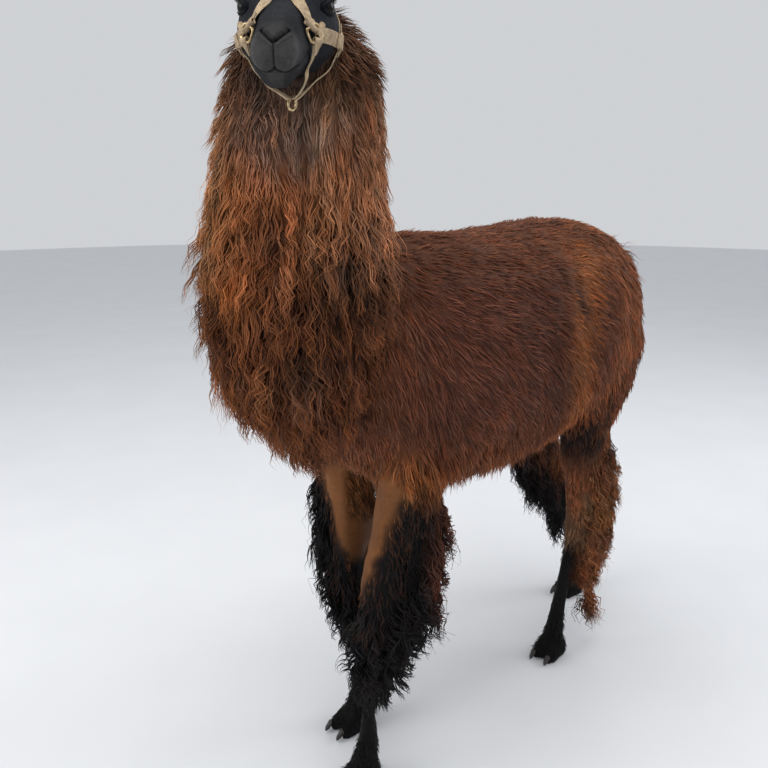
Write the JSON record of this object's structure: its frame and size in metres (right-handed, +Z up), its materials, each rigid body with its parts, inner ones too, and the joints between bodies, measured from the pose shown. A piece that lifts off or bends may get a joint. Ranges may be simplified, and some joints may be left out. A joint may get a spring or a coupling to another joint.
{
  "type": "llama",
  "caption": "Life-size standing llama in a long winter coat, head turned to its left and wearing a webbing halter; a still display model.",
  "frame": {"origin": "middle of the base of the bounding box, on the floor under the llama", "axes": "+Z is up; the llama's body faces -Y, so +Y is towards its tail; +X is its left side, the side its head is turned to"},
  "size_m": [0.5104, 1.3564, 1.6781],
  "materials": {
    "brown_wool": "long crimped wool, chestnut to dark maroon",
    "dark_wool": "black-brown curly wool and short leg hair",
    "face_hair": "short flat black hair with a soft sheen",
    "horn": "dull dark horn",
    "eye": "wet glossy dark brown",
    "webbing": "woven tan webbing with stitching",
    "brass": "worn pale brass"
  },
  "bodies": {
    "root": {"ear_left": "face_hair", "ear_right": "face_hair", "eye_left": "eye", "eye_right": "eye", "halter_cheek_strap_left": "webbing", "halter_cheek_strap_right": "webbing", "halter_chin_ring": "brass", "halter_chin_strap_left": "webbing", "halter_chin_strap_right": "webbing", "halter_crown_strap": "webbing", "halter_jaw_strap_left": "webbing", "halter_jaw_strap_right": "webbing", "halter_noseband": "webbing", "halter_rear_ring_left": "brass", "halter_rear_ring_right": "brass", "halter_side_ring_left": "brass", "halter_side_ring_right": "brass", "head": "face_hair", "left_fore_foot": "dark_wool", "left_fore_lower_leg": "dark_wool", "left_fore_nail_left": "horn", "left_fore_nail_right": "horn", "left_fore_upper_leg": "brown_wool", "left_fore_wool": "dark_wool", "left_hind_foot": "dark_wool", "left_hind_lower_leg": "dark_wool", "left_hind_nail_left": "horn", "left_hind_nail_right": "horn", "left_hind_upper_leg": "brown_wool", "left_hind_wool": "dark_wool", "lower_jaw": "face_hair", "neck": "brown_wool", "right_fore_foot": "dark_wool", "right_fore_lower_leg": "dark_wool", "right_fore_nail_left": "horn", "right_fore_nail_right": "horn", "right_fore_upper_leg": "brown_wool", "right_fore_wool": "dark_wool", "right_hind_foot": "dark_wool", "right_hind_lower_leg": "dark_wool", "right_hind_nail_left": "horn", "right_hind_nail_right": "horn", "right_hind_upper_leg": "brown_wool", "right_hind_wool": "dark_wool", "tail": "brown_wool", "trunk": "brown_wool"}
  },
  "joints": []
}
